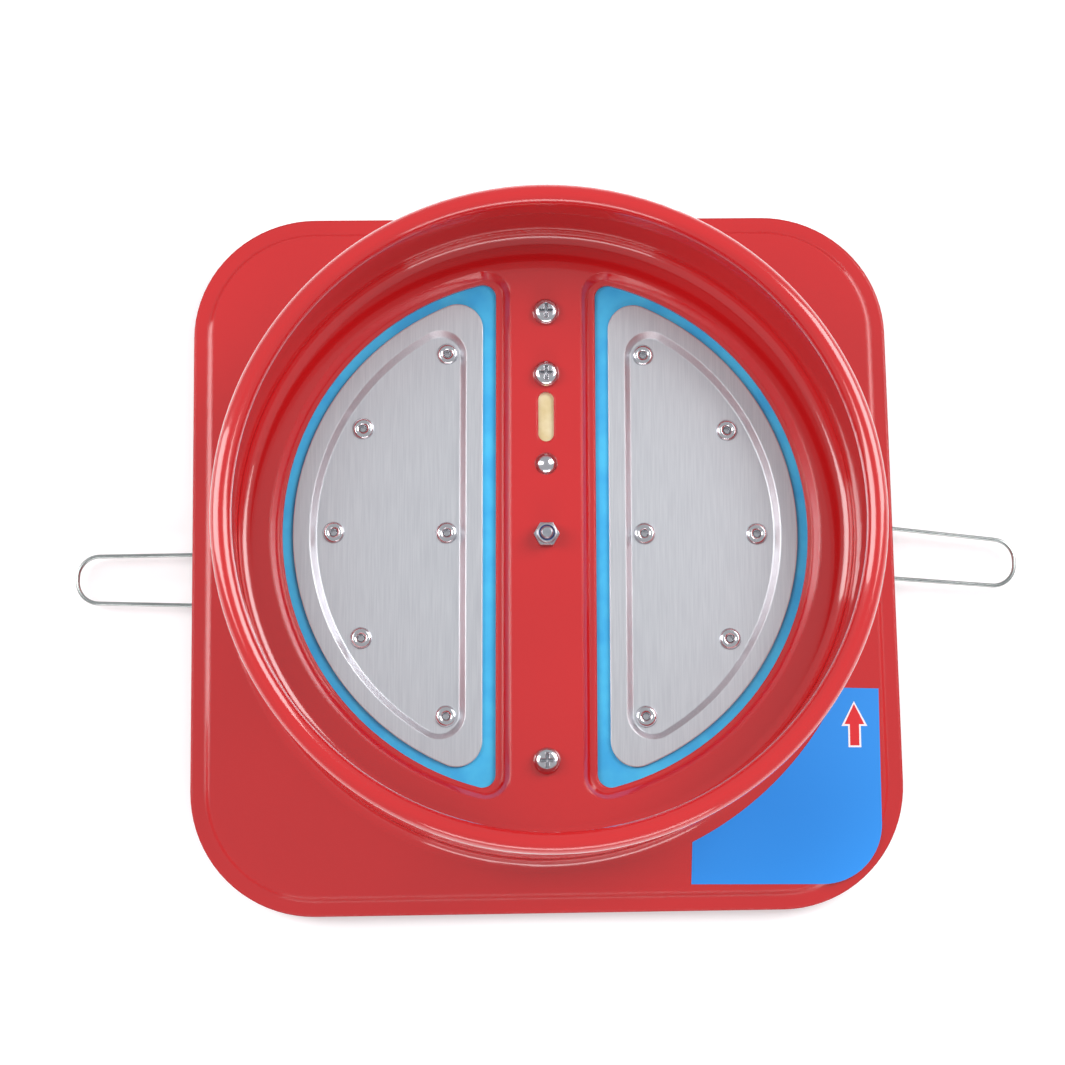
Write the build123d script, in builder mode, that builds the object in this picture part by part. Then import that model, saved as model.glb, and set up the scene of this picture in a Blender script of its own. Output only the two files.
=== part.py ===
from build123d import *
import os
from math import atan2, cos, degrees, radians, sin, sqrt, tan

# Twin-flap non-return valve for a range hood duct.
# Frame: the collar's axis is Z and points to the hood hose, the hinge pins run along Y,
# and Z = 0 is the flange's back face, which lies on the wall round the duct.

# Driving dimensions of the drawn steel body, in millimetres
sheet_t = 1.0
flange_w = 200.0
flange_corner_r = 35.0
flange_shift_x = 0.6
flange_shift_y = -2.7
flange_turn = 0.8
border_w = 4.2
panel_step = 1.2
panel_bevel = 0.9
collar_r = 88.0
collar_h = 64.5
collar_foot_r = 3.5
rim_bend_r = 2.85
rim_lip_h = 7.0

# Driving dimensions of the seat pan inside the collar
pan_floor_z = 32.0
pan_wall_h = 28.0
pan_fillet_r = 3.0
pan_clearance = 0.05
seat_arc_r = 71.7
seat_bar_x = 13.7
seat_corner_r = 3.6
seat_lip_arc_w = 1.2
seat_lip_bar_w = 2.0
seat_depth = 2.5
seat_slope_w = 1.8

# Driving dimensions of the flaps
front_t = 0.8
front_arc_gap = 2.8
front_bar_gap = 3.6
front_corner_r = 7.0
dish_border_w = 4.6
dish_slope_w = 1.6
gasket_t = 2.0
gasket_overlap = 2.6
gasket_lap = 3.4
back_t = 1.0
back_inset = 0.8
rivet_arc_in = 10.9
rivet_side_angle = 30.0
rivet_bar_in = 9.8
rivet_end_in = 1.08
rivet_r = 1.6
rivet_rim_r = 3.0
rivet_rim_h = 0.9
rivet_tube_r = 0.9

# Driving dimensions of the hinges
hinge_x = 9.0
pin_r = 1.25
pin_clearance = 0.05
pin_tail_l = 3.5
groove_depth = 0.3
knuckle_l = 10.0
knuckle_gap = 0.5
tail_tip_x = 4.5
tail_y = 9.0
tail_l = 9.0
bracket_t = 1.5
bracket_w = 16.0
bracket_l = 16.0
bracket_ear_in = 17.379
ear_wall = 1.45
ear_hole_r = 1.0
clip_t = 0.6
clip_r = 2.4
flap_spring_wire_r = 0.3
flap_spring_pitch = 0.7
flap_spring_turns = 6
flap_spring_y = -28.0

# Driving dimensions of the fasteners on the bar, seen from the hood side
screw_top_in = 8.0
screw_link_y = 43.5
screw_bottom_in = 9.5
window_y = 31.6
window_l = 13.8
window_w = 4.2
post_y = 18.5
post_r = 1.5
post_head_r = 3.1
post_head_h = 1.7
bolt_y = -1.3
screw_r = 1.75
screw_hole_r = 1.9
screw_l = 8.0
screw_head_r = 3.65
screw_head_h = 2.6
nut_across_flats = 6.1
nut_h = 2.8
nyloc_h = 4.5
nut_crown_r = 2.75
nut_ring_r = 2.15
bolt_head_h = 2.8
washer_r = 4.0
washer_t = 0.8
sleeve_r = 2.9

# Driving dimensions of the lock slide, its spring and the fusible link
slide_t = 1.2
slide_w = 11.0
slide_travel = 7.0
slide_gap = 0.3
slide_end_y = 38.5
slide_tail_y = -14.0
tab_l = 6.0
tab_y = 17.5
tab_out_x = 7.2
link_t = 0.4
link_w = 8.0
link_gap = 0.05
link_inner_y = 23.5
link_outer_y = 47.5
hook_y = 36.2
lock_spring_r = 2.1
lock_spring_wire_r = 0.4
lock_spring_pitch = 1.2
lock_spring_turns = 16
lock_spring_y = -24.0

# Driving dimensions of the wire clips behind the flange
clip_wire_r = 0.6
clip_pin_r = 1.1
clip_pin_head_r = 2.0
clip_pivot_x = 83.0
clip_turns = 3
clip_pitch = 1.22
clip_cheek_y = 2.2
clip_cheek_t = 1.0
clip_cheek_r = 2.1
clip_pad_h = 9.0
clip_loop_half_w = 6.6
left_clip_y = -9.2
left_clip_reach = 48.7
left_clip_skew = 0.0
right_clip_y = 0.6
right_clip_reach = 52.6
right_clip_skew = -4.6

# Sizes worked out from the driving dimensions
panel_turn = atan2(panel_step, panel_bevel)
panel_taper = degrees(atan2(panel_bevel, panel_step))
panel_z = sheet_t + panel_step
under_inset = border_w + sheet_t * tan(panel_turn / 2)
flange_plane = Plane(
    origin=(flange_shift_x, flange_shift_y, 0),
    x_dir=(cos(radians(flange_turn)), sin(radians(flange_turn)), 0),
    z_dir=(0, 0, 1),
)
lip_outer_r = collar_r - 2 * rim_bend_r + sheet_t
pan_inner_r = lip_outer_r + pan_clearance
pan_outer_r = pan_inner_r + sheet_t
bar_under_z = pan_floor_z - sheet_t
seat_turn = atan2(seat_depth, seat_slope_w)
seat_taper = degrees(atan2(seat_slope_w, seat_depth))
seat_under = sheet_t * tan(seat_turn / 2)
seat_z = bar_under_z - seat_depth
seat_foot_r = seat_arc_r + seat_lip_arc_w
seat_foot_x = seat_bar_x - seat_lip_bar_w
seat_foot_corner = seat_corner_r + seat_lip_arc_w
front_arc_r = seat_arc_r - front_arc_gap
front_bar_x = seat_bar_x + front_bar_gap
rivet_circle_r = front_arc_r - rivet_arc_in
rivet_bar_x = front_bar_x + rivet_bar_in
rivet_bar_y = sqrt(rivet_circle_r**2 - rivet_bar_x**2) - rivet_end_in
bracket_ear_y = sqrt(seat_arc_r**2 - seat_bar_x**2) - bracket_ear_in
gasket_z = seat_z - gasket_t
dish_turn = atan2(gasket_t, dish_slope_w)
dish_taper = degrees(atan2(dish_slope_w, gasket_t))
dish_under = front_t * tan(dish_turn / 2)
gasket_r = seat_arc_r + gasket_overlap
gasket_x = seat_bar_x - gasket_overlap
gasket_corner = seat_corner_r + gasket_overlap
back_z = gasket_z - back_t
hinge_z = back_z - pin_r - pin_clearance
knuckle_r = pin_r + pin_clearance + back_t
screw_top_y = bracket_ear_y + screw_top_in
screw_bottom_y = -bracket_ear_y - screw_bottom_in
knuckle_y = bracket_ear_y - knuckle_gap - knuckle_l / 2
ear_r = pin_r + ear_wall
bracket_z = bar_under_z - bracket_t
strip_z = bar_under_z - link_t
moving_strip_z = strip_z - link_gap - link_t
slide_top_z = moving_strip_z - slide_gap
slide_z = slide_top_z - slide_t
washer_z = slide_z - slide_gap
clip_coil_r = clip_pin_r + pin_clearance + clip_wire_r
clip_arm_z = -clip_wire_r - 0.1
clip_pivot_z = clip_arm_z - clip_coil_r


class HalfDisc(BaseSketchObject):
    """D outline: an arc about the collar's axis, closed by a straight edge along the bar."""

    _applies_to = [BuildSketch._tag]

    def __init__(self, arc_r, bar_x, corner_r, mode=Mode.ADD):
        with BuildSketch() as outline:
            Circle(arc_r)
            with Locations((bar_x + arc_r, 0)):
                Rectangle(2 * arc_r, 2 * arc_r, mode=Mode.INTERSECT)
            fillet(outline.vertices().group_by(Axis.X)[0], corner_r)
        super().__init__(outline.sketch, rotation=0, align=None, mode=mode)


def wire_coil(wire_r, coil_r, pitch, turns, lefthand=False):
    """Coil of wire along Z that starts on the X side."""
    with BuildPart() as coil:
        with BuildLine():
            path = Helix(pitch, pitch * turns, coil_r, lefthand=lefthand)
        with BuildSketch(Plane(origin=path @ 0, z_dir=path % 0)):
            Circle(wire_r)
        sweep(path=path, is_frenet=True)
    return coil.part


def wire_run(points, wire_r, bend_r):
    """Straight stretches of wire with rounded bends."""
    with BuildPart() as run:
        with BuildLine():
            path = FilletPolyline(*points, radius=bend_r)
        with BuildSketch(Plane(origin=path @ 0, z_dir=path % 0)):
            Circle(wire_r)
        sweep(path=path)
    return run.part


# Flange and collar, drawn from one sheet: the square flange with its raised panel, the round
# wall, and the rim bent back on itself so that its lip points down into the collar
with BuildPart() as flange_collar:
    with BuildSketch(flange_plane):
        RectangleRounded(flange_w, flange_w, flange_corner_r)
    extrude(amount=sheet_t)
    with BuildSketch(flange_plane.offset(sheet_t)):
        panel_w = flange_w - 2 * border_w
        RectangleRounded(panel_w, panel_w, flange_corner_r - border_w)
    extrude(amount=panel_step, taper=panel_taper)
    with BuildSketch(flange_plane):
        hollow_w = flange_w - 2 * under_inset
        RectangleRounded(hollow_w, hollow_w, flange_corner_r - under_inset)
    extrude(amount=panel_step, taper=panel_taper, mode=Mode.SUBTRACT)
    with BuildSketch(flange_plane.offset(-sheet_t)):
        with Locations(flange_plane.to_local_coords(Vector(0, 0, 0))):
            Circle(collar_r + collar_foot_r)
    extrude(amount=panel_z + 2 * sheet_t, mode=Mode.SUBTRACT)
    with BuildSketch(Plane.XZ):
        with BuildLine():
            foot_outer = RadiusArc(
                (collar_r + collar_foot_r, panel_z),
                (collar_r, panel_z + collar_foot_r),
                collar_foot_r,
            )
            wall_outer = Line(foot_outer @ 1, (collar_r, collar_h - rim_bend_r))
            bend_outer = ThreePointArc(
                wall_outer @ 1,
                (collar_r - rim_bend_r, collar_h),
                (collar_r - 2 * rim_bend_r, collar_h - rim_bend_r),
            )
            lip_inner = Line(
                bend_outer @ 1,
                (collar_r - 2 * rim_bend_r, collar_h - rim_bend_r - rim_lip_h),
            )
            lip_end = Line(lip_inner @ 1, (lip_inner @ 1) + Vector(sheet_t, 0))
            lip_outer = Line(lip_end @ 1, (lip_outer_r, collar_h - rim_bend_r))
            bend_inner = ThreePointArc(
                lip_outer @ 1,
                (collar_r - rim_bend_r, collar_h - sheet_t),
                (collar_r - sheet_t, collar_h - rim_bend_r),
            )
            wall_inner = Line(bend_inner @ 1, (collar_r - sheet_t, panel_z + collar_foot_r))
            foot_inner = RadiusArc(
                wall_inner @ 1,
                (collar_r + collar_foot_r, panel_z - sheet_t),
                -collar_foot_r - sheet_t,
            )
            Line(foot_inner @ 1, foot_outer @ 0)
        make_face()
    revolve(axis=Axis.Z)
flange_collar.part.label = "flange_collar"

# Seat pan: a pressed cup that hangs from the rim's lip, with two D-shaped seats set down
# beside the bar that carries the hinges and the lock
with BuildPart() as seat_pan:
    with BuildSketch(Plane.XZ):
        with BuildLine():
            pan_under = Line((0, bar_under_z), (pan_inner_r - pan_fillet_r, bar_under_z))
            pan_foot = RadiusArc(
                pan_under @ 1,
                (pan_outer_r, pan_floor_z + pan_fillet_r),
                -pan_fillet_r - sheet_t,
            )
            pan_rim = Polyline(
                pan_foot @ 1,
                (pan_outer_r, pan_floor_z + pan_wall_h),
                (pan_inner_r, pan_floor_z + pan_wall_h),
                (pan_inner_r, pan_floor_z + pan_fillet_r),
            )
            pan_corner = RadiusArc(
                pan_rim @ 1,
                (pan_inner_r - pan_fillet_r, pan_floor_z),
                pan_fillet_r,
            )
            Polyline(pan_corner @ 1, (0, pan_floor_z), (0, bar_under_z))
        make_face()
    revolve(axis=Axis.Z)
    with BuildSketch(Plane.XY.offset(bar_under_z)) as seat_backs:
        HalfDisc(
            seat_foot_r + seat_slope_w + seat_under,
            seat_foot_x - seat_slope_w - seat_under,
            seat_foot_corner + seat_slope_w + seat_under,
        )
        mirror(about=Plane.YZ)
    extrude(amount=-seat_depth, taper=seat_taper)
    with BuildSketch(Plane.XY.offset(pan_floor_z)) as seat_recesses:
        HalfDisc(
            seat_foot_r + seat_slope_w,
            seat_foot_x - seat_slope_w,
            seat_foot_corner + seat_slope_w,
        )
        mirror(about=Plane.YZ)
    extrude(amount=-seat_depth, taper=seat_taper, mode=Mode.SUBTRACT)
    with BuildSketch(Plane.XY.offset(seat_z - sheet_t)) as seat_openings:
        HalfDisc(seat_arc_r, seat_bar_x, seat_corner_r)
        mirror(about=Plane.YZ)
    extrude(amount=seat_depth + 2 * sheet_t, mode=Mode.SUBTRACT)
    with BuildSketch(Plane.XY.offset(bar_under_z - sheet_t)) as bar_holes:
        with Locations(
            (0, screw_top_y), (0, screw_link_y), (0, screw_bottom_y), (0, bolt_y)
        ):
            Circle(screw_hole_r)
        with Locations((0, post_y)):
            Circle(post_r + pin_clearance)
        with Locations((0, window_y)):
            SlotOverall(window_l, window_w, rotation=90)
    extrude(amount=3 * sheet_t, mode=Mode.SUBTRACT)
seat_pan.part.label = "seat_pan"

# Right flap, front plate: stainless sheet with a dished field
with BuildPart() as right_front_plate:
    with BuildSketch(Plane.XY.offset(seat_z)):
        HalfDisc(front_arc_r, front_bar_x, front_corner_r)
    extrude(amount=front_t)
    dish_r = front_arc_r - dish_border_w
    dish_x = front_bar_x + dish_border_w
    dish_corner = front_corner_r
    with BuildSketch(Plane.XY.offset(seat_z)):
        HalfDisc(dish_r + dish_under, dish_x - dish_under, dish_corner + dish_under)
    extrude(amount=-gasket_t, taper=dish_taper)
    with BuildSketch(Plane.XY.offset(seat_z + front_t)):
        HalfDisc(dish_r, dish_x, dish_corner)
    extrude(amount=-gasket_t, taper=dish_taper, mode=Mode.SUBTRACT)
    rivet_places = [
        (rivet_circle_r, 0),
        (rivet_circle_r * cos(radians(rivet_side_angle)), rivet_circle_r * sin(radians(rivet_side_angle))),
        (rivet_circle_r * cos(radians(rivet_side_angle)), -rivet_circle_r * sin(radians(rivet_side_angle))),
        (rivet_bar_x, rivet_bar_y),
        (rivet_bar_x, 0),
        (rivet_bar_x, -rivet_bar_y),
    ]
    with BuildSketch(Plane.XY.offset(gasket_z - front_t)):
        with Locations(*rivet_places):
            Circle(rivet_r + 0.02)
    extrude(amount=3 * front_t, mode=Mode.SUBTRACT)
right_front_plate.part.label = "right_front_plate"

# Right flap, gasket: a D ring of silicone that seals against the underside of the seat
with BuildPart() as right_gasket:
    with BuildSketch(Plane.XY.offset(gasket_z)):
        HalfDisc(gasket_r, gasket_x, gasket_corner)
        HalfDisc(
            front_arc_r - gasket_lap,
            front_bar_x + gasket_lap,
            front_corner_r,
            mode=Mode.SUBTRACT,
        )
    extrude(amount=gasket_t)
right_gasket.part.label = "right_gasket"

# Right flap, back plate: backs the gasket, and carries the curled hinge knuckles and the
# tail that the lock slide holds down
with BuildPart() as right_back_plate:
    with BuildSketch(Plane.XY.offset(back_z)):
        HalfDisc(gasket_r - back_inset, gasket_x + back_inset, gasket_corner)
        with Locations((0, tail_y)):
            with Locations((tail_tip_x, 0)):
                Rectangle(gasket_x + 3 - tail_tip_x, tail_l, align=(Align.MIN, Align.CENTER))
    extrude(amount=back_t)
    for side in (-1, 1):
        with BuildSketch(Plane.XZ.offset(-side * knuckle_y + knuckle_l / 2)) as curl:
            with Locations((hinge_x, hinge_z)):
                Circle(knuckle_r)
            with Locations((hinge_x, back_z)):
                Rectangle(gasket_x + 3 - hinge_x, back_t, align=(Align.MIN, Align.MIN))
            with Locations((hinge_x, hinge_z)):
                Circle(pin_r + pin_clearance, mode=Mode.SUBTRACT)
                with Locations((knuckle_r, pin_r * 0.3)):
                    Rectangle(knuckle_r, pin_r * 0.9, mode=Mode.SUBTRACT)
        extrude(amount=-knuckle_l)
    with BuildSketch(Plane.XY.offset(back_z - back_t)):
        with Locations(*rivet_places):
            Circle(rivet_r + 0.02)
    extrude(amount=3 * back_t, mode=Mode.SUBTRACT)
right_back_plate.part.label = "right_back_plate"

# Semi-tubular rivet: a low head behind the back plate and a rolled rim in the dish
with BuildPart() as rivet_form:
    with BuildSketch(Plane.XZ):
        with BuildLine():
            rim_z = gasket_z + front_t
            shank = Polyline(
                (0, back_z - rivet_rim_h),
                (rivet_rim_r * 0.8, back_z - rivet_rim_h),
                (rivet_rim_r, back_z - rivet_rim_h * 0.6),
                (rivet_rim_r, back_z),
                (rivet_r, back_z),
                (rivet_r, rim_z),
                (rivet_rim_r, rim_z),
            )
            rim_roll = ThreePointArc(
                shank @ 1,
                ((rivet_rim_r + rivet_tube_r) / 2 + 0.3, rim_z + rivet_rim_h),
                (rivet_tube_r, rim_z + rivet_rim_h * 0.3),
            )
            Polyline(rim_roll @ 1, (rivet_tube_r, back_z), (0, back_z), shank @ 0)
        make_face()
    revolve(axis=Axis.Z)

with BuildPart() as right_rivets:
    with Locations(*rivet_places):
        add(rivet_form.part)
right_rivets.part.label = "right_rivets"

# Right hinge pin with a clip groove near each end
pin_half_l = bracket_ear_y + bracket_t + pin_tail_l
groove_y = bracket_ear_y + bracket_t + 0.1
with BuildPart() as right_hinge_pin:
    with BuildSketch(Plane.XZ.offset(-pin_half_l)):
        with Locations((hinge_x, hinge_z)):
            Circle(pin_r)
    extrude(amount=2 * pin_half_l)
    chamfer(right_hinge_pin.edges().filter_by(GeomType.CIRCLE), 0.3)
    for end_y in (groove_y, -groove_y - clip_t - 0.1):
        with BuildSketch(Plane.XZ.offset(-end_y)):
            with Locations((hinge_x, hinge_z)):
                Circle(2 * pin_r)
                Circle(pin_r - groove_depth, mode=Mode.SUBTRACT)
        extrude(amount=-clip_t - 0.1, mode=Mode.SUBTRACT)
right_hinge_pin.part.label = "right_hinge_pin"

# Retaining clips in the four pin grooves
with BuildPart() as pin_clips:
    for end_y in (groove_y + 0.05, -groove_y - clip_t - 0.05):
        with BuildSketch(Plane.XZ.offset(-end_y)):
            with Locations((hinge_x, hinge_z), (-hinge_x, hinge_z)):
                Circle(clip_r)
                Circle(pin_r - groove_depth + 0.02, mode=Mode.SUBTRACT)
                with Locations((0, -clip_r)):
                    Rectangle(pin_r, 2 * clip_r, mode=Mode.SUBTRACT)
        extrude(amount=-clip_t)
pin_clips.part.label = "pin_clips"

# Top hinge bracket: a pressed angle under the bar whose ear holds both pins
with BuildPart() as top_hinge_bracket:
    with BuildSketch(Plane.XY.offset(bracket_z)):
        with Locations((0, bracket_ear_y)):
            Rectangle(bracket_w, bracket_l, align=(Align.CENTER, Align.MIN))
        with Locations((0, screw_top_y)):
            Circle(screw_hole_r, mode=Mode.SUBTRACT)
    extrude(amount=bracket_t)
    with BuildSketch(Plane.XZ.offset(-bracket_ear_y)):
        with BuildSketch(mode=Mode.PRIVATE) as ear_frame:
            with Locations((hinge_x, hinge_z), (-hinge_x, hinge_z)):
                Circle(ear_r)
            with Locations((0, bracket_z)):
                Rectangle(bracket_w, bracket_t, align=(Align.CENTER, Align.MIN))
        make_hull(ear_frame.sketch.edges())
        with Locations((hinge_x, hinge_z), (-hinge_x, hinge_z)):
            Circle(pin_r + 0.02, mode=Mode.SUBTRACT)
        with Locations((0, washer_z)):
            Circle(ear_hole_r, mode=Mode.SUBTRACT)
    extrude(amount=-bracket_t)
top_hinge_bracket.part.label = "top_hinge_bracket"

# Bottom hinge bracket: the same pressing turned round, its hole at the other screw
with BuildPart() as bottom_hinge_bracket:
    with BuildSketch(Plane.XY.offset(bracket_z)):
        with Locations((0, -bracket_ear_y)):
            Rectangle(bracket_w, bracket_l, align=(Align.CENTER, Align.MAX))
        with Locations((0, screw_bottom_y)):
            Circle(screw_hole_r, mode=Mode.SUBTRACT)
    extrude(amount=bracket_t)
    with BuildSketch(Plane.XZ.offset(bracket_ear_y)):
        with BuildSketch(mode=Mode.PRIVATE) as ear_frame:
            with Locations((hinge_x, hinge_z), (-hinge_x, hinge_z)):
                Circle(ear_r)
            with Locations((0, bracket_z)):
                Rectangle(bracket_w, bracket_t, align=(Align.CENTER, Align.MIN))
        make_hull(ear_frame.sketch.edges())
        with Locations((hinge_x, hinge_z), (-hinge_x, hinge_z)):
            Circle(pin_r + 0.02, mode=Mode.SUBTRACT)
        with Locations((0, washer_z)):
            Circle(ear_hole_r, mode=Mode.SUBTRACT)
    extrude(amount=bracket_t)
bottom_hinge_bracket.part.label = "bottom_hinge_bracket"

# Right flap spring: a torsion coil on the pin, one leg under the flap and one up to the bar
flap_coil_r = pin_r + 2 * pin_clearance + flap_spring_wire_r
with BuildPart() as right_flap_spring:
    coil_plane = Plane(origin=(hinge_x, flap_spring_y, hinge_z), x_dir=(-1, 0, 0), z_dir=(0, 1, 0))
    with Locations(coil_plane):
        add(
            wire_coil(
                flap_spring_wire_r, flap_coil_r, flap_spring_pitch, flap_spring_turns + 0.25
            )
        )
    bar_leg_h = bar_under_z - hinge_z - flap_spring_wire_r
    with Locations((hinge_x - flap_coil_r, flap_spring_y, hinge_z)):
        Cylinder(flap_spring_wire_r, bar_leg_h, align=(Align.CENTER, Align.CENTER, Align.MIN))
right_flap_spring.part.label = "right_flap_spring"

# Pan-head screws along the bar
with BuildPart() as screw_form:
    with BuildSketch(Plane.XY.offset(pan_floor_z)):
        Circle(screw_head_r)
    extrude(amount=screw_head_h)
    fillet(screw_form.edges().group_by(Axis.Z)[-1], screw_head_h * 0.75)
    with BuildSketch(Plane.XY.offset(pan_floor_z + screw_head_h)):
        Rectangle(screw_head_r * 1.15, screw_head_r * 0.26)
        Rectangle(screw_head_r * 0.26, screw_head_r * 1.15)
    extrude(amount=-screw_head_h * 0.6, taper=12, mode=Mode.SUBTRACT)
    with BuildSketch(Plane.XY.offset(pan_floor_z)):
        Circle(screw_r)
    extrude(amount=-screw_l)
    chamfer(screw_form.edges().group_by(Axis.Z)[0], 0.5)

with BuildPart() as pan_head_screws:
    with Locations((0, screw_top_y), (0, screw_link_y), (0, screw_bottom_y)):
        add(screw_form.part)
pan_head_screws.part.label = "pan_head_screws"

# Nuts behind the bar: two under the hinge brackets and one under the fixed link strip
with BuildPart() as screw_nuts:
    for nut_y, seat_height in (
        (screw_top_y, bracket_z),
        (screw_link_y, strip_z),
        (screw_bottom_y, bracket_z),
    ):
        with BuildSketch(Plane.XY.offset(seat_height)):
            with Locations((0, nut_y)):
                RegularPolygon(nut_across_flats / 2, 6, major_radius=False)
                Circle(screw_r + 0.02, mode=Mode.SUBTRACT)
        extrude(amount=-nut_h)
screw_nuts.part.label = "screw_nuts"

# Centre bolt with its washer, the sleeve that the lock slide runs on, and the lock nut
with BuildPart() as centre_bolt:
    with BuildSketch(Plane.XY.offset(washer_z - washer_t)):
        with Locations((0, bolt_y)):
            RegularPolygon(nut_across_flats / 2, 6, major_radius=False)
    extrude(amount=-bolt_head_h)
    with BuildSketch(Plane.XY.offset(washer_z - washer_t)):
        with Locations((0, bolt_y)):
            Circle(screw_r)
    bolt_end_z = pan_floor_z + nyloc_h + 0.8
    extrude(amount=bolt_end_z - washer_z + washer_t)
    chamfer(centre_bolt.edges().filter_by(GeomType.CIRCLE).group_by(Axis.Z)[-1], 0.4)
centre_bolt.part.label = "centre_bolt"

with BuildPart() as bolt_washer:
    with BuildSketch(Plane.XY.offset(washer_z - washer_t)):
        with Locations((0, bolt_y)):
            Circle(washer_r)
            Circle(screw_hole_r, mode=Mode.SUBTRACT)
    extrude(amount=washer_t)
bolt_washer.part.label = "bolt_washer"

with BuildPart() as guide_sleeve:
    with BuildSketch(Plane.XY.offset(washer_z)):
        with Locations((0, bolt_y)):
            Circle(sleeve_r)
            Circle(screw_hole_r, mode=Mode.SUBTRACT)
    extrude(amount=bar_under_z - washer_z)
guide_sleeve.part.label = "guide_sleeve"

with BuildPart() as lock_nut:
    with BuildSketch(Plane.XY.offset(pan_floor_z)):
        with Locations((0, bolt_y)):
            RegularPolygon(nut_across_flats / 2, 6, major_radius=False)
    extrude(amount=nut_h)
    with BuildSketch(Plane.XY.offset(pan_floor_z)):
        with Locations((0, bolt_y)):
            Circle(nut_crown_r)
    extrude(amount=nyloc_h)
    fillet(lock_nut.edges().group_by(Axis.Z)[-1], 0.35)
    with BuildSketch(Plane.XY.offset(pan_floor_z)):
        with Locations((0, bolt_y)):
            Circle(screw_r + 0.02)
    extrude(amount=nyloc_h, mode=Mode.SUBTRACT)
    with BuildSketch(Plane.XY.offset(pan_floor_z + nut_h)):
        with Locations((0, bolt_y)):
            Circle(nut_ring_r)
    extrude(amount=nyloc_h, mode=Mode.SUBTRACT)
lock_nut.part.label = "lock_nut"

with BuildPart() as lock_nut_ring:
    with BuildSketch(Plane.XY.offset(pan_floor_z + nut_h)):
        with Locations((0, bolt_y)):
            Circle(nut_ring_r - 0.02)
            Circle(screw_r + 0.02, mode=Mode.SUBTRACT)
    extrude(amount=nyloc_h - nut_h - 0.3)
lock_nut_ring.part.label = "lock_nut_ring"

# Guide post: a domed rivet in the bar whose lower head keeps the slide up
with BuildPart() as guide_post:
    with BuildSketch(Plane.XZ):
        with BuildLine():
            post_side = Polyline(
                (0, washer_z - slide_gap - 0.7),
                (post_head_r * 0.88, washer_z - slide_gap - 0.7),
                (post_head_r * 0.88, washer_z),
                (post_r, washer_z),
                (post_r, pan_floor_z),
                (post_head_r, pan_floor_z),
            )
            post_dome = RadiusArc(
                post_side @ 1,
                (0, pan_floor_z + post_head_h),
                -(post_head_r**2 + post_head_h**2) / (2 * post_head_h),
            )
            Line(post_dome @ 1, post_side @ 0)
        make_face()
    revolve(axis=Axis.Z)
guide_post.part.position = (0, post_y, 0)
guide_post.part.label = "guide_post"

# Lock slide: when the link melts it moves along the bar and its tabs stand over the flap tails
with BuildPart() as lock_slide:
    with BuildSketch(Plane.XY.offset(slide_z)):
        with Locations((0, slide_tail_y)):
            Rectangle(slide_w, slide_end_y - slide_tail_y, align=(Align.CENTER, Align.MIN))
        with Locations((0, tab_y)):
            Rectangle(2 * tab_out_x, tab_l)
        with Locations((0, bolt_y + slide_travel / 2)):
            SlotCenterToCenter(
                slide_travel + 0.4, 2 * sleeve_r + 0.2, rotation=90, mode=Mode.SUBTRACT
            )
        with Locations((0, post_y + slide_travel / 2)):
            SlotCenterToCenter(
                slide_travel + 0.4, 2 * post_r + 0.2, rotation=90, mode=Mode.SUBTRACT
            )
        with Locations((0, hook_y)):
            Rectangle(link_w + 0.4, 2.5 * link_t, mode=Mode.SUBTRACT)
        with Locations((0, slide_tail_y + 2.5)):
            Circle(ear_hole_r, mode=Mode.SUBTRACT)
    extrude(amount=slide_t)
    with BuildSketch(Plane.XY.offset(gasket_z + slide_gap)):
        with Locations((tab_out_x - slide_t / 2, tab_y), (slide_t / 2 - tab_out_x, tab_y)):
            Rectangle(slide_t, tab_l)
    extrude(amount=slide_z - gasket_z)
    tab_bends = lock_slide.edges().filter_by(Axis.Y).filter_by(
        lambda e: abs(abs(e.center().X) - tab_out_x) < 0.01 and abs(e.center().Z - slide_top_z) < 0.01
    )
    fillet(tab_bends, 0.8 * slide_t)
lock_slide.part.label = "lock_slide"

# Fusible link: two brass strips soldered together, one clamped to the bar, one hooked in the slide
with BuildPart() as link_fixed_strip:
    with BuildSketch(Plane.XY.offset(strip_z)):
        with Locations((0, link_inner_y)):
            Rectangle(link_w, link_outer_y - link_inner_y, align=(Align.CENTER, Align.MIN))
        with Locations((0, screw_link_y)):
            Circle(screw_hole_r, mode=Mode.SUBTRACT)
    extrude(amount=link_t)
    fillet(link_fixed_strip.edges().filter_by(Axis.Z), 1.0)
link_fixed_strip.part.label = "link_fixed_strip"

with BuildPart() as link_moving_strip:
    with BuildSketch(Plane.XY.offset(moving_strip_z)):
        with Locations((0, link_inner_y + 4)):
            Rectangle(
                link_w, hook_y + link_t / 2 - link_inner_y - 4, align=(Align.CENTER, Align.MIN)
            )
    extrude(amount=link_t)
    with BuildSketch(Plane.XY.offset(slide_z)):
        with Locations((0, hook_y)):
            Rectangle(link_w, link_t)
    extrude(amount=moving_strip_z + link_t - slide_z)
link_moving_strip.part.label = "link_moving_strip"

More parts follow.
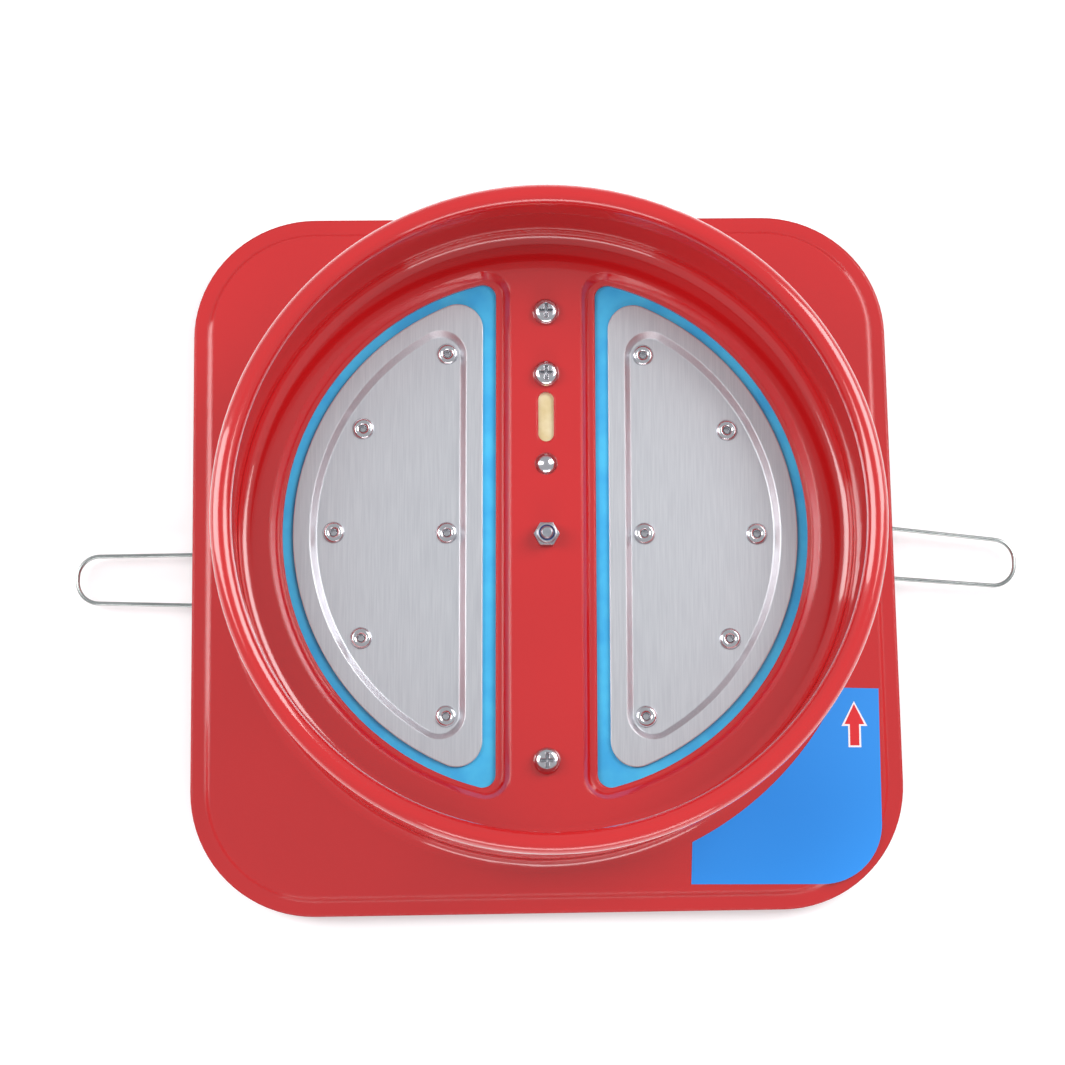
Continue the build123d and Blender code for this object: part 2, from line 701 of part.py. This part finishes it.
# Lock spring: a tension coil between the slide's tail and the bottom bracket
with BuildPart() as lock_spring:
    spring_z = washer_z
    spring_l = lock_spring_pitch * lock_spring_turns
    lock_plane = Plane(
        origin=(0, lock_spring_y, spring_z), x_dir=(0, 0, -1), z_dir=(0, -1, 0)
    )
    with Locations(lock_plane):
        add(
            wire_coil(
                lock_spring_wire_r, lock_spring_r, lock_spring_pitch, lock_spring_turns
            )
        )
    hook_z = spring_z - lock_spring_r
    slide_hook_z = slide_z - lock_spring_wire_r - 0.2
    slide_hook = [
        (0, lock_spring_y, hook_z),
        (0, lock_spring_y + 3.0, hook_z),
        (0, slide_tail_y - 2.5, slide_hook_z),
        (0, slide_tail_y + 2.5, slide_hook_z),
        (0, slide_tail_y + 2.5, slide_top_z),
    ]
    add(wire_run(slide_hook, lock_spring_wire_r, 0.6))
    coil_end_y = lock_spring_y - spring_l
    bracket_hook = [
        (0, coil_end_y, hook_z),
        (0, coil_end_y - 3.0, hook_z),
        (0, coil_end_y - 6.0, spring_z),
        (0, -bracket_ear_y - bracket_t - 1.0, spring_z),
    ]
    add(wire_run(bracket_hook, lock_spring_wire_r, 0.6))
lock_spring.part.label = "lock_spring"


def clip_wire(side, centre_y, reach, skew):
    """Wire clip of one side: a long loop whose legs end in coils round the clip's pin."""
    inner_y = clip_cheek_y + clip_cheek_t + clip_wire_r + 0.1
    coil_l = clip_pitch * clip_turns
    tip_x = side * (clip_pivot_x + reach)
    with BuildPart() as wire:
        for half in (-1, 1):
            coil_start = Vector(side * clip_pivot_x, centre_y + half * inner_y, clip_pivot_z)
            coil_plane = Plane(origin=coil_start, x_dir=(0, 0, 1), z_dir=(0, half, 0))
            with BuildLine(mode=Mode.PRIVATE) as coil:
                Helix(clip_pitch, coil_l, clip_coil_r, lefthand=side * half < 0)
            with BuildLine(mode=Mode.PRIVATE) as leg:
                FilletPolyline(
                    (side * clip_pivot_x, centre_y + half * (inner_y + coil_l), clip_arm_z),
                    (tip_x, centre_y + skew + half * clip_loop_half_w, clip_arm_z),
                    (tip_x, centre_y + skew, clip_arm_z),
                    radius=0.92 * clip_loop_half_w,
                )
            path = Wire([coil.edges()[0].moved(coil_plane.location)] + list(leg.edges()))
            with BuildSketch(Plane(origin=path @ 0, z_dir=path % 0)):
                Circle(clip_wire_r)
            sweep(path=path)
    return wire.part


with BuildPart() as right_clip_wire:
    add(clip_wire(1, right_clip_y, right_clip_reach, right_clip_skew))
right_clip_wire.part.label = "right_clip_wire"

with BuildPart() as left_clip_wire:
    add(clip_wire(-1, left_clip_y, left_clip_reach, left_clip_skew))
left_clip_wire.part.label = "left_clip_wire"


def clip_pin(side, centre_y):
    """Headed pin of one wire clip."""
    half_l = clip_cheek_y + clip_cheek_t + clip_pitch * clip_turns + 2 * clip_wire_r + 0.8
    with BuildPart() as pin:
        with Locations(Location((side * clip_pivot_x, centre_y, clip_pivot_z), (90, 0, 0))):
            Cylinder(clip_pin_r, 2 * half_l)
            with Locations((0, 0, half_l), (0, 0, -half_l)):
                Cylinder(clip_pin_head_r, 0.8)
    return pin.part


with BuildPart() as right_clip_pin:
    add(clip_pin(1, right_clip_y))
right_clip_pin.part.label = "right_clip_pin"

with BuildPart() as left_clip_pin:
    add(clip_pin(-1, left_clip_y))
left_clip_pin.part.label = "left_clip_pin"


def clip_bracket(side, centre_y):
    """Bracket of one wire clip: a curved pad welded in the collar and two cheeks for the pin."""
    pad_r = collar_r - sheet_t - pan_clearance
    pad_z = panel_z + collar_foot_r + 1.5
    cheek_out = clip_cheek_y + clip_cheek_t
    with BuildPart() as bracket:
        with BuildSketch(Plane.XY.offset(pad_z)):
            Circle(pad_r)
            Circle(pad_r - clip_cheek_t, mode=Mode.SUBTRACT)
            with Locations((side * pad_r, centre_y)):
                Rectangle(pad_r, 2 * cheek_out, mode=Mode.INTERSECT)
        extrude(amount=clip_pad_h)
        for cheek_y in (-cheek_out, clip_cheek_y):
            far_y = max(abs(centre_y + cheek_y), abs(centre_y + cheek_y + clip_cheek_t))
            cheek_x = sqrt((pad_r - clip_cheek_t / 2) ** 2 - far_y**2)
            with BuildSketch(Plane.XZ.offset(-centre_y - cheek_y)):
                with BuildSketch(mode=Mode.PRIVATE) as cheek_frame:
                    with Locations((side * clip_pivot_x, clip_pivot_z)):
                        Circle(clip_cheek_r)
                    with Locations((side * (cheek_x - 1.5 * clip_cheek_t), pad_z)):
                        Rectangle(3 * clip_cheek_t, clip_pad_h, align=(Align.CENTER, Align.MIN))
                make_hull(cheek_frame.sketch.edges())
                with Locations((side * clip_pivot_x, clip_pivot_z)):
                    Circle(clip_pin_r + 0.02, mode=Mode.SUBTRACT)
            extrude(amount=-clip_cheek_t)
    return bracket.part


with BuildPart() as right_clip_bracket:
    add(clip_bracket(1, right_clip_y))
right_clip_bracket.part.label = "right_clip_bracket"

with BuildPart() as left_clip_bracket:
    add(clip_bracket(-1, left_clip_y))
left_clip_bracket.part.label = "left_clip_bracket"

# The left flap and its hinge are the right ones mirrored across the bar
with BuildPart() as left_front_plate:
    mirror(right_front_plate.part, about=Plane.YZ)
left_front_plate.part.label = "left_front_plate"

with BuildPart() as left_gasket:
    mirror(right_gasket.part, about=Plane.YZ)
left_gasket.part.label = "left_gasket"

with BuildPart() as left_back_plate:
    mirror(right_back_plate.part, about=Plane.YZ)
left_back_plate.part.label = "left_back_plate"

with BuildPart() as left_rivets:
    mirror(right_rivets.part, about=Plane.YZ)
left_rivets.part.label = "left_rivets"

with BuildPart() as left_hinge_pin:
    mirror(right_hinge_pin.part, about=Plane.YZ)
left_hinge_pin.part.label = "left_hinge_pin"

with BuildPart() as left_flap_spring:
    mirror(right_flap_spring.part, about=Plane.YZ)
left_flap_spring.part.label = "left_flap_spring"

# One file per piece
os.makedirs("parts", exist_ok=True)
export_step(flange_collar.part, "parts/flange_collar.step")
export_step(seat_pan.part, "parts/seat_pan.step")
export_step(right_front_plate.part, "parts/right_front_plate.step")
export_step(left_front_plate.part, "parts/left_front_plate.step")
export_step(right_gasket.part, "parts/right_gasket.step")
export_step(left_gasket.part, "parts/left_gasket.step")
export_step(right_back_plate.part, "parts/right_back_plate.step")
export_step(left_back_plate.part, "parts/left_back_plate.step")
export_step(right_rivets.part, "parts/right_rivets.step")
export_step(left_rivets.part, "parts/left_rivets.step")
export_step(right_hinge_pin.part, "parts/right_hinge_pin.step")
export_step(left_hinge_pin.part, "parts/left_hinge_pin.step")
export_step(pin_clips.part, "parts/pin_clips.step")
export_step(top_hinge_bracket.part, "parts/top_hinge_bracket.step")
export_step(bottom_hinge_bracket.part, "parts/bottom_hinge_bracket.step")
export_step(right_flap_spring.part, "parts/right_flap_spring.step")
export_step(left_flap_spring.part, "parts/left_flap_spring.step")
export_step(pan_head_screws.part, "parts/pan_head_screws.step")
export_step(screw_nuts.part, "parts/screw_nuts.step")
export_step(centre_bolt.part, "parts/centre_bolt.step")
export_step(bolt_washer.part, "parts/bolt_washer.step")
export_step(guide_sleeve.part, "parts/guide_sleeve.step")
export_step(lock_nut.part, "parts/lock_nut.step")
export_step(lock_nut_ring.part, "parts/lock_nut_ring.step")
export_step(guide_post.part, "parts/guide_post.step")
export_step(lock_slide.part, "parts/lock_slide.step")
export_step(link_fixed_strip.part, "parts/link_fixed_strip.step")
export_step(link_moving_strip.part, "parts/link_moving_strip.step")
export_step(lock_spring.part, "parts/lock_spring.step")
export_step(right_clip_wire.part, "parts/right_clip_wire.step")
export_step(left_clip_wire.part, "parts/left_clip_wire.step")
export_step(right_clip_pin.part, "parts/right_clip_pin.step")
export_step(left_clip_pin.part, "parts/left_clip_pin.step")
export_step(right_clip_bracket.part, "parts/right_clip_bracket.step")
export_step(left_clip_bracket.part, "parts/left_clip_bracket.step")
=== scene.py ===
from math import cos, radians, sin

import bmesh
import bpy
from mathutils import Matrix, Vector


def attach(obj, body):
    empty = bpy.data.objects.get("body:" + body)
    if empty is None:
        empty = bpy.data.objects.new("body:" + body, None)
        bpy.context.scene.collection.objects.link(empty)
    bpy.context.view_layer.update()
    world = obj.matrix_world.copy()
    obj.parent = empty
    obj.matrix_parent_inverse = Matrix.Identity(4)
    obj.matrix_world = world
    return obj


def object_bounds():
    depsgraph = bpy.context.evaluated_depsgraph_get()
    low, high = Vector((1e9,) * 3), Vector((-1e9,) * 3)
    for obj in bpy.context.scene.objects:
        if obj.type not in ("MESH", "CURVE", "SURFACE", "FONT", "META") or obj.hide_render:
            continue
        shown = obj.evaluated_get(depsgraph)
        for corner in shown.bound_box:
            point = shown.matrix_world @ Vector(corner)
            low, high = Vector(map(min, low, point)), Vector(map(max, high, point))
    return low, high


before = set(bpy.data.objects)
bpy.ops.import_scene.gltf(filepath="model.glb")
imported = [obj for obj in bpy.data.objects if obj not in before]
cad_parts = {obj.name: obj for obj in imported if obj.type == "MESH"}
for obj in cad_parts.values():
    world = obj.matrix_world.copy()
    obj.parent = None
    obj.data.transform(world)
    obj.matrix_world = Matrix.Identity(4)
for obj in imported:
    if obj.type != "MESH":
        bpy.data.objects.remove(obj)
cad_low, cad_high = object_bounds()
scene = bpy.context.scene
scene.view_settings.view_transform = "Standard"

# Camera: stands over the mouth of the collar, a little below the middle, as the photograph was
# taken. Its place and turn were solved from the flange's edges, the rim, the seats and the rivets.
camera_place = Vector((-0.0223, -0.1018, 0.6431))
camera_right = Vector((0.9995, -0.0018, 0.0300))
camera_up = Vector((-0.0031, 0.9866, 0.1633))
camera_back = Vector((-0.0299, -0.1633, 0.9861))
sensor_mm = 36.0
focal_mm = 77.1

camera_data = bpy.data.cameras.new("camera")
camera_data.sensor_width = sensor_mm
camera_data.lens = focal_mm
camera = bpy.data.objects.new("camera", camera_data)
camera_turn = Matrix((camera_right, camera_up, camera_back)).transposed().to_4x4()
camera.matrix_world = Matrix.Translation(camera_place) @ camera_turn
scene.collection.objects.link(camera)
scene.camera = camera

# Studio: a white sheet lies under the object, one large soft box stands up and to the right,
# a long strip on the left lights the collar's wall, and a weak fill comes from the front.
air_strength = 0.6
floor_half = 3.0
floor_drop = 0.0001
paper_glow = 0.2


def srgb(text):
    """Linear colour of a hex value such as D23A3A."""
    parts = [int(text[i : i + 2], 16) / 255 for i in (0, 2, 4)]
    linear = [c / 12.92 if c <= 0.04045 else ((c + 0.055) / 1.055) ** 2.4 for c in parts]
    return (*linear, 1.0)


def node(tree, kind, place, **sockets):
    """Adds a node at a place and sets its sockets: a value, or a socket to link from."""
    made = tree.nodes.new(kind)
    made.location = place
    for name, value in sockets.items():
        key = name.replace("_", " ")
        if isinstance(value, bpy.types.NodeSocket):
            tree.links.new(value, made.inputs[key])
        else:
            made.inputs[key].default_value = value
    return made


def soft_box(name, place, target, width, height, power):
    """A rectangular light at a place, turned to a target."""
    data = bpy.data.lights.new(name, "AREA")
    data.shape = "RECTANGLE"
    data.size = width
    data.size_y = height
    data.energy = power
    box = bpy.data.objects.new(name, data)
    box.location = place
    box.rotation_euler = (Vector(target) - Vector(place)).to_track_quat("-Z", "Y").to_euler()
    scene.collection.objects.link(box)


soft_box(
    "soft_box_right",
    place=(0.85, 0.45, 0.85),
    target=(0.0, 0.0, 0.02),
    width=0.7,
    height=0.9,
    power=12.0,
)
soft_box(
    "soft_box_left",
    place=(-0.90, 0.20, 0.75),
    target=(0.0, 0.0, 0.03),
    width=0.45,
    height=1.1,
    power=9.0,
)
soft_box(
    "soft_box_front",
    place=(0.1, -1.0, 0.45),
    target=(0.0, 0.0, 0.03),
    width=1.1,
    height=0.25,
    power=4.0,
)

world = bpy.data.worlds.new("studio_air")
world.use_nodes = True
air = world.node_tree.nodes["Background"]
air.inputs["Color"].default_value = srgb("F2F4F8")
air.inputs["Strength"].default_value = air_strength
scene.world = world

floor_mesh = bpy.data.meshes.new("floor")
floor_z = cad_low[2] - floor_drop
floor_mesh.from_pydata(
    [
        (-floor_half, -floor_half, floor_z),
        (floor_half, -floor_half, floor_z),
        (floor_half, floor_half, floor_z),
        (-floor_half, floor_half, floor_z),
    ],
    [],
    [(0, 1, 2, 3)],
)
floor = bpy.data.objects.new("floor", floor_mesh)
scene.collection.objects.link(floor)

# Matt white paper, lifted a little where the camera or a mirror-like surface sees it
paper = bpy.data.materials.new("white_paper_sheet")
paper.use_nodes = True
tree = paper.node_tree
bsdf = tree.nodes["Principled BSDF"]
bsdf.inputs["Base Color"].default_value = srgb("F4F4F4")
bsdf.inputs["Roughness"].default_value = 0.8
bsdf.inputs["Emission Color"].default_value = (1.0, 1.0, 1.0, 1.0)
light_path = node(tree, "ShaderNodeLightPath", (-700, -200))
seen = node(tree, "ShaderNodeMath", (-480, -200))
seen.operation = "MAXIMUM"
tree.links.new(light_path.outputs["Is Camera Ray"], seen.inputs[0])
tree.links.new(light_path.outputs["Is Glossy Ray"], seen.inputs[1])
glow = node(tree, "ShaderNodeMath", (-260, -200))
glow.operation = "MULTIPLY"
glow.inputs[1].default_value = paper_glow
tree.links.new(seen.outputs[0], glow.inputs[0])
tree.links.new(glow.outputs[0], bsdf.inputs["Emission Strength"])
floor_mesh.materials.append(paper)

# Flange, collar and seat pan: deep-drawn steel sheet under a thick coat of red enamel that
# flowed before it was baked, so it is a deep wet gloss with a faint unevenness in its shine.
edge_samples = 4
drift_low_at = 0.35
drift_high_at = 0.65


def dress(piece, material):
    """Gives a CAD node or a piece one material."""
    piece.data.materials.clear()
    piece.data.materials.append(material)


def finish_material(name, colour, metallic, roughness):
    """A new material with its node tree and its shader."""
    made = bpy.data.materials.new(name)
    made.use_nodes = True
    shader = made.node_tree.nodes["Principled BSDF"]
    shader.inputs["Base Color"].default_value = srgb(colour)
    shader.inputs["Metallic"].default_value = metallic
    shader.inputs["Roughness"].default_value = roughness
    return made, made.node_tree, shader


def surface_noise(tree, place, scale, detail, stretch=(1.0, 1.0, 1.0)):
    """Noise in the object's own metres, stretched where a finish runs one way."""
    coords = node(tree, "ShaderNodeTexCoord", (place[0] - 440, place[1]))
    mapping = node(
        tree,
        "ShaderNodeMapping",
        (place[0] - 220, place[1]),
        Vector=coords.outputs["Object"],
        Scale=stretch,
    )
    return node(
        tree,
        "ShaderNodeTexNoise",
        place,
        Vector=mapping.outputs["Vector"],
        Scale=scale,
        Detail=detail,
    )


def drifting_colour(tree, shader, noise, low, high):
    """Base colour that drifts between two near values with a noise."""
    ramp = node(tree, "ShaderNodeValToRGB", (-420, 200), Fac=noise.outputs["Fac"])
    ramp.color_ramp.elements[0].position = drift_low_at
    ramp.color_ramp.elements[0].color = srgb(low)
    ramp.color_ramp.elements[1].position = drift_high_at
    ramp.color_ramp.elements[1].color = srgb(high)
    tree.links.new(ramp.outputs["Color"], shader.inputs["Base Color"])


def uneven_skin(tree, shader, noise, strength, depth, edge_r):
    """Shallow relief of a noise on edges that are rounded as the real ones are."""
    edge = node(tree, "ShaderNodeBevel", (-420, -420), Radius=edge_r)
    edge.samples = edge_samples
    relief = node(
        tree,
        "ShaderNodeBump",
        (-200, -360),
        Height=noise.outputs["Fac"],
        Strength=strength,
        Distance=depth,
        Normal=edge.outputs["Normal"],
    )
    tree.links.new(relief.outputs["Normal"], shader.inputs["Normal"])


enamel, tree, bsdf = finish_material("red_stove_enamel", "BE1418", 0.0, 0.14)
bsdf.inputs["Coat Weight"].default_value = 1.0
bsdf.inputs["Coat Roughness"].default_value = 0.03
# The colour flows in waves of about 70 mm, and the skin has an orange peel of about 8 mm
flow = surface_noise(tree, (-700, 200), scale=14.0, detail=1.0)
drifting_colour(tree, bsdf, flow, "BB1316", "C21619")
peel = surface_noise(tree, (-700, -300), scale=120.0, detail=1.0)
uneven_skin(tree, bsdf, peel, strength=0.05, depth=0.0004, edge_r=0.0011)
for name in ("flange_collar", "seat_pan", "right_clip_bracket", "left_clip_bracket"):
    dress(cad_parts[name], enamel)

# Flaps: stainless sheet with a fine satin grain along the bar, dished in the press. Six
# semi-tubular rivets hold each front plate, its gasket and the plated back plate together.
satin, tree, bsdf = finish_material("satin_stainless_sheet", "CDCFD4", 1.0, 0.4)
# Real grain lines are about 0.05 mm wide: drawn 0.4 mm wide so that they show as a soft streak
grain = surface_noise(tree, (-700, 100), scale=2600.0, detail=3.0, stretch=(1.0, 0.03, 1.0))
drifting_colour(tree, bsdf, grain, "C9CBD0", "D2D4D8")
gloss = node(
    tree,
    "ShaderNodeMapRange",
    (-420, -60),
    Value=grain.outputs["Fac"],
    To_Min=0.38,
    To_Max=0.44,
)
tree.links.new(gloss.outputs["Result"], bsdf.inputs["Roughness"])
uneven_skin(tree, bsdf, grain, strength=0.04, depth=0.00004, edge_r=0.0005)
for name in ("right_front_plate", "left_front_plate"):
    dress(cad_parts[name], satin)

# Rivets, screw heads and post are tumbled steel: small, bright, with rub marks 2 mm apart
polished, tree, bsdf = finish_material("polished_rivet_steel", "D0D0D4", 1.0, 0.18)
rubbed = surface_noise(tree, (-700, 0), scale=500.0, detail=2.0)
uneven_skin(tree, bsdf, rubbed, strength=0.08, depth=0.0001, edge_r=0.0003)
for name in ("right_rivets", "left_rivets", "guide_post", "pan_head_screws"):
    dress(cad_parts[name], polished)

# Zinc plate on pressed and turned steel: a cool grey with bright patches about 3 mm across
plated, tree, bsdf = finish_material("bright_zinc_plate", "B9BCC2", 1.0, 0.3)
spangle = surface_noise(tree, (-700, 100), scale=300.0, detail=3.0)
drifting_colour(tree, bsdf, spangle, "AEB2BA", "C6C8CC")
uneven_skin(tree, bsdf, spangle, strength=0.08, depth=0.0001, edge_r=0.0003)
for name in (
    "right_back_plate",
    "left_back_plate",
    "pin_clips",
    "top_hinge_bracket",
    "bottom_hinge_bracket",
    "screw_nuts",
    "centre_bolt",
    "bolt_washer",
    "guide_sleeve",
    "lock_nut",
    "lock_slide",
):
    dress(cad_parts[name], plated)

# Gaskets: moulded silicone, soft and slightly see-through at its edge, which shows as a blue
# band round each front plate. Its bloom is a cloudiness in patches of about 8 mm.
silicone, tree, bsdf = finish_material("blue_silicone_rubber", "38AFE4", 0.0, 0.42)
bsdf.inputs["Subsurface Weight"].default_value = 0.15
bsdf.inputs["Subsurface Radius"].default_value = (0.0008, 0.0012, 0.0015)
bloom = surface_noise(tree, (-700, 100), scale=120.0, detail=3.0)
drifting_colour(tree, bsdf, bloom, "33AAE2", "44BCEA")
uneven_skin(tree, bsdf, bloom, strength=0.1, depth=0.0002, edge_r=0.0004)
for name in ("right_gasket", "left_gasket"):
    dress(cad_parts[name], silicone)

# Hinge pins, springs and wire clips: drawn spring wire, smooth and a little darker than the
# plated parts. Tone changes in bands of 1 to 2 mm stand for its finer drawing lines.
wire, tree, bsdf = finish_material("drawn_spring_wire", "A9ADAC", 1.0, 0.26)
draw = surface_noise(tree, (-700, 100), scale=700.0, detail=2.0, stretch=(0.1, 0.1, 1.0))
drifting_colour(tree, bsdf, draw, "9FA4A2", "B6BAB8")
for name in (
    "right_hinge_pin",
    "left_hinge_pin",
    "right_flap_spring",
    "left_flap_spring",
    "lock_spring",
    "right_clip_wire",
    "left_clip_wire",
    "right_clip_pin",
    "left_clip_pin",
):
    dress(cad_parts[name], wire)

# Fusible link: two thin rolled brass strips that low-melting solder holds together. Pale and
# slightly tarnished in patches of about 5 mm, they show behind the slot of the bar.
brass, tree, bsdf = finish_material("pale_brass_strip", "F4E0B0", 1.0, 0.42)
tarnish = surface_noise(tree, (-700, 100), scale=220.0, detail=4.0)
drifting_colour(tree, bsdf, tarnish, "ECD6A2", "FBEAC2")
for name in ("link_fixed_strip", "link_moving_strip"):
    dress(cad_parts[name], brass)

# Ring of the lock nut: moulded blue nylon, pressed in above the thread. It gives the eye a
# small dull dark ring in the bright nut, scuffed in spots of 2 to 3 mm.
nylon, tree, bsdf = finish_material("blue_nylon_ring", "1E3A78", 0.0, 0.4)
scuff = surface_noise(tree, (-700, 100), scale=400.0, detail=2.0)
drifting_colour(tree, bsdf, scuff, "1A3470", "27468A")
dress(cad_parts["lock_nut_ring"], nylon)

# Flow label: a printed plastic film on the flange's panel, cut round the foot of the collar,
# with a bare blue field and one red arrow that has a white edge.
panel_z = 0.0022
label_t = 0.0001
label_right_x = 0.0950
label_top_y = -0.0401
label_bottom_y = -0.0948
label_left_x = 0.0412
label_inner_r = 0.0930
label_corner_r = 0.0170
label_inner_start = -63.4
label_inner_end = -25.4
ink_t = 0.00003
arrow_x = 0.0879
arrow_tip_y = -0.0445
arrow_head_y = -0.0502
arrow_end_y = -0.0562
arrow_head_half_w = 0.0028
arrow_shaft_half_w = 0.0013
arrow_edge_w = 0.0005
tip_growth = 1.6
head_growth = 1.7


def flat_piece(name, outline, low_z, high_z, material):
    """A thin sheet of an outline, with its edge, that rides on the valve's body."""
    mesh = bpy.data.meshes.new(name)
    shape = bmesh.new()
    face = shape.faces.new([shape.verts.new((x, y, low_z)) for x, y in outline])
    face.normal_update()
    if face.normal.z > 0:
        face.normal_flip()
    raised = bmesh.ops.extrude_face_region(shape, geom=[face])
    verts = [v for v in raised["geom"] if isinstance(v, bmesh.types.BMVert)]
    bmesh.ops.translate(shape, verts=verts, vec=(0, 0, high_z - low_z))
    bmesh.ops.recalc_face_normals(shape, faces=shape.faces)
    shape.to_mesh(mesh)
    shape.free()
    mesh.materials.append(material)
    piece = bpy.data.objects.new(name, mesh)
    scene.collection.objects.link(piece)
    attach(piece, "root")


def arc(centre, radius, start, end, steps):
    """Points along an arc, angles in degrees."""
    turns = [radians(start + (end - start) * i / steps) for i in range(steps + 1)]
    return [(centre[0] + radius * cos(a), centre[1] + radius * sin(a)) for a in turns]


def arrow(grow):
    """Outline of the arrow, grown all round for its white edge."""
    tip_y = arrow_tip_y + tip_growth * grow
    head_y = arrow_head_y - grow
    end_y = arrow_end_y - grow
    head = arrow_head_half_w + head_growth * grow
    shaft = arrow_shaft_half_w + grow
    return [
        (arrow_x, tip_y),
        (arrow_x + head, head_y),
        (arrow_x + shaft, head_y),
        (arrow_x + shaft, end_y),
        (arrow_x - shaft, end_y),
        (arrow_x - shaft, head_y),
        (arrow_x - head, head_y),
    ]


label_corner = (label_right_x - label_corner_r, label_bottom_y + label_corner_r)
label_outline = [(label_right_x, label_top_y)]
label_outline += arc(label_corner, label_corner_r, 0, -90, 16)
label_outline += [(label_left_x, label_bottom_y)]
label_outline += arc((0, 0), label_inner_r, label_inner_start, label_inner_end, 24)

# Printed film: satin, its blue a little uneven over some 80 mm, with flat white and red inks
film, tree, bsdf = finish_material("blue_printed_film", "2A96FF", 0.0, 0.3)
ink = surface_noise(tree, (-700, 100), scale=12.0, detail=1.0)
drifting_colour(tree, bsdf, ink, "1F86E0", "2B93EE")
white_ink = finish_material("white_printed_edge", "F4F6F8", 0.0, 0.35)[0]
red_ink = finish_material("red_printed_arrow", "D8232B", 0.0, 0.35)[0]

label_z = panel_z + label_t
flat_piece("flow_label", label_outline, panel_z, label_z, film)
flat_piece("arrow_edge", arrow(arrow_edge_w), label_z, label_z + ink_t, white_ink)
flat_piece("flow_arrow", arrow(0.0), label_z + ink_t, label_z + 2 * ink_t, red_ink)
